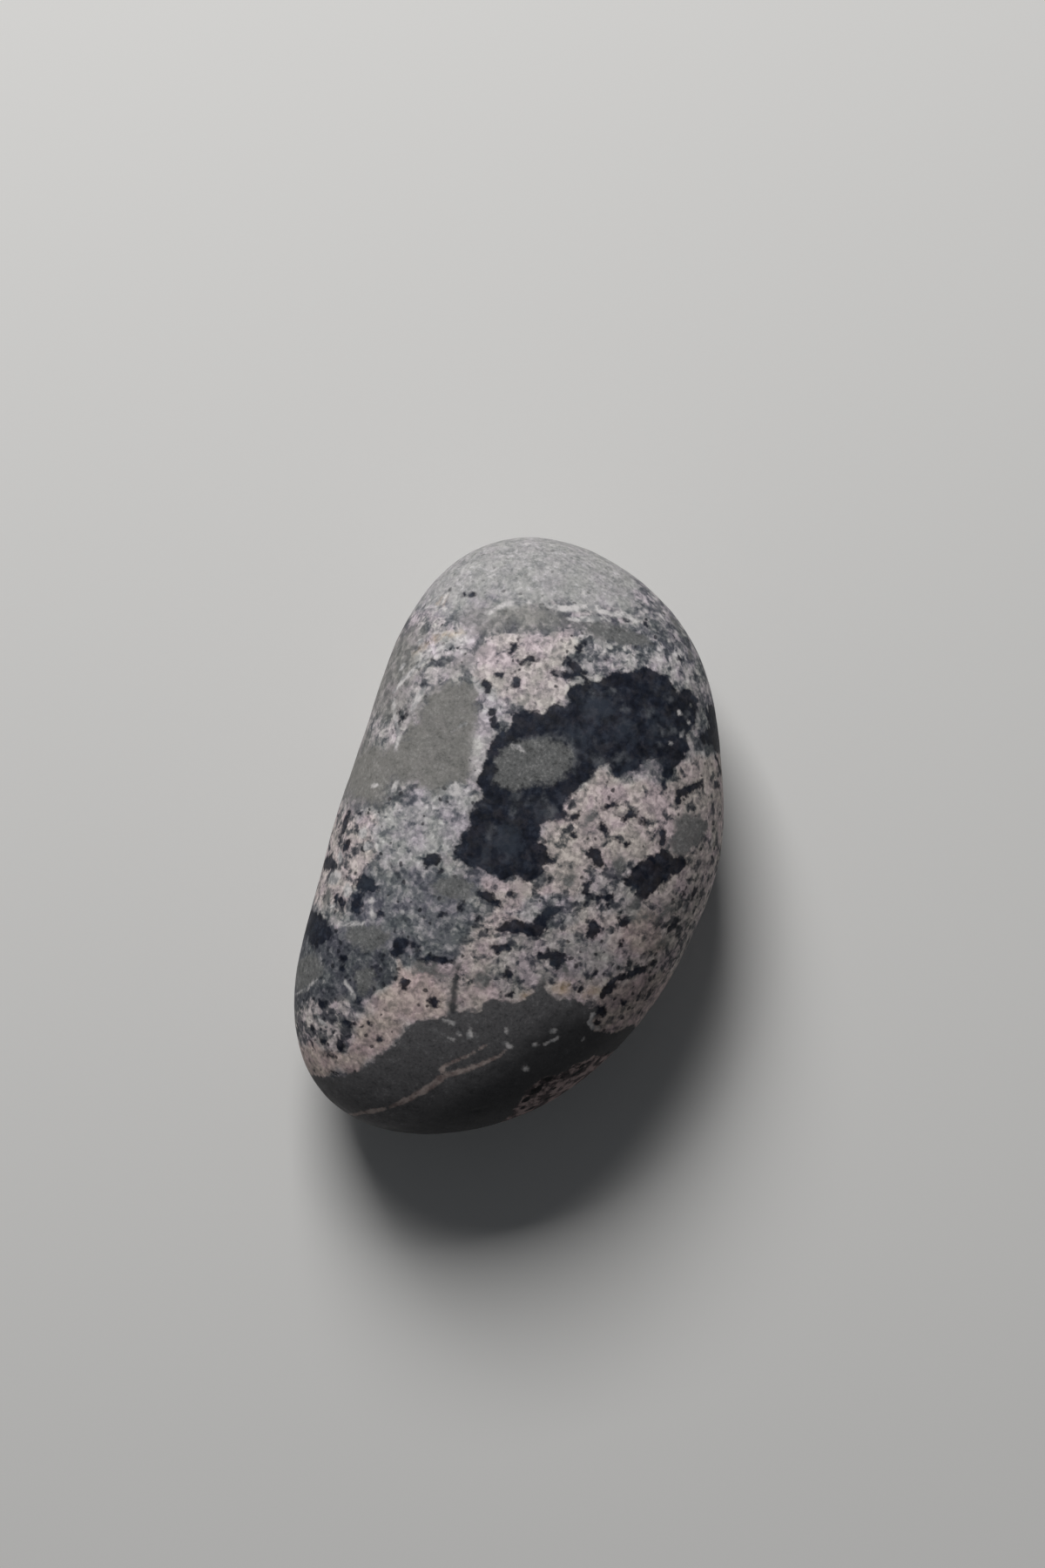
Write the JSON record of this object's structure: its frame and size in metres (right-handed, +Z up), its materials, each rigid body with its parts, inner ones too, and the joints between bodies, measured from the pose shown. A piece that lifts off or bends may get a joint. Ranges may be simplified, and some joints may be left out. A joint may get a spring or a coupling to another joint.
{
  "type": "river pebble",
  "caption": "Water-worn river pebble with a rounded D-shaped outline, a low domed top and a small worn flat that it rests on.",
  "frame": {"origin": "on the surface that the pebble rests on, under the middle of its bounding box", "axes": "+Z up from the resting flat, +Y along the pebble towards its pale end, +X towards its rounder flank"},
  "size_m": [0.0514, 0.083, 0.034],
  "materials": {
    "mottled_stone": "matte water-worn conglomerate, mottled grey, navy, sage and pinkish cream, with a dark slate end and a pale vein"
  },
  "bodies": {
    "root": {"pebble": "mottled_stone"}
  },
  "joints": []
}
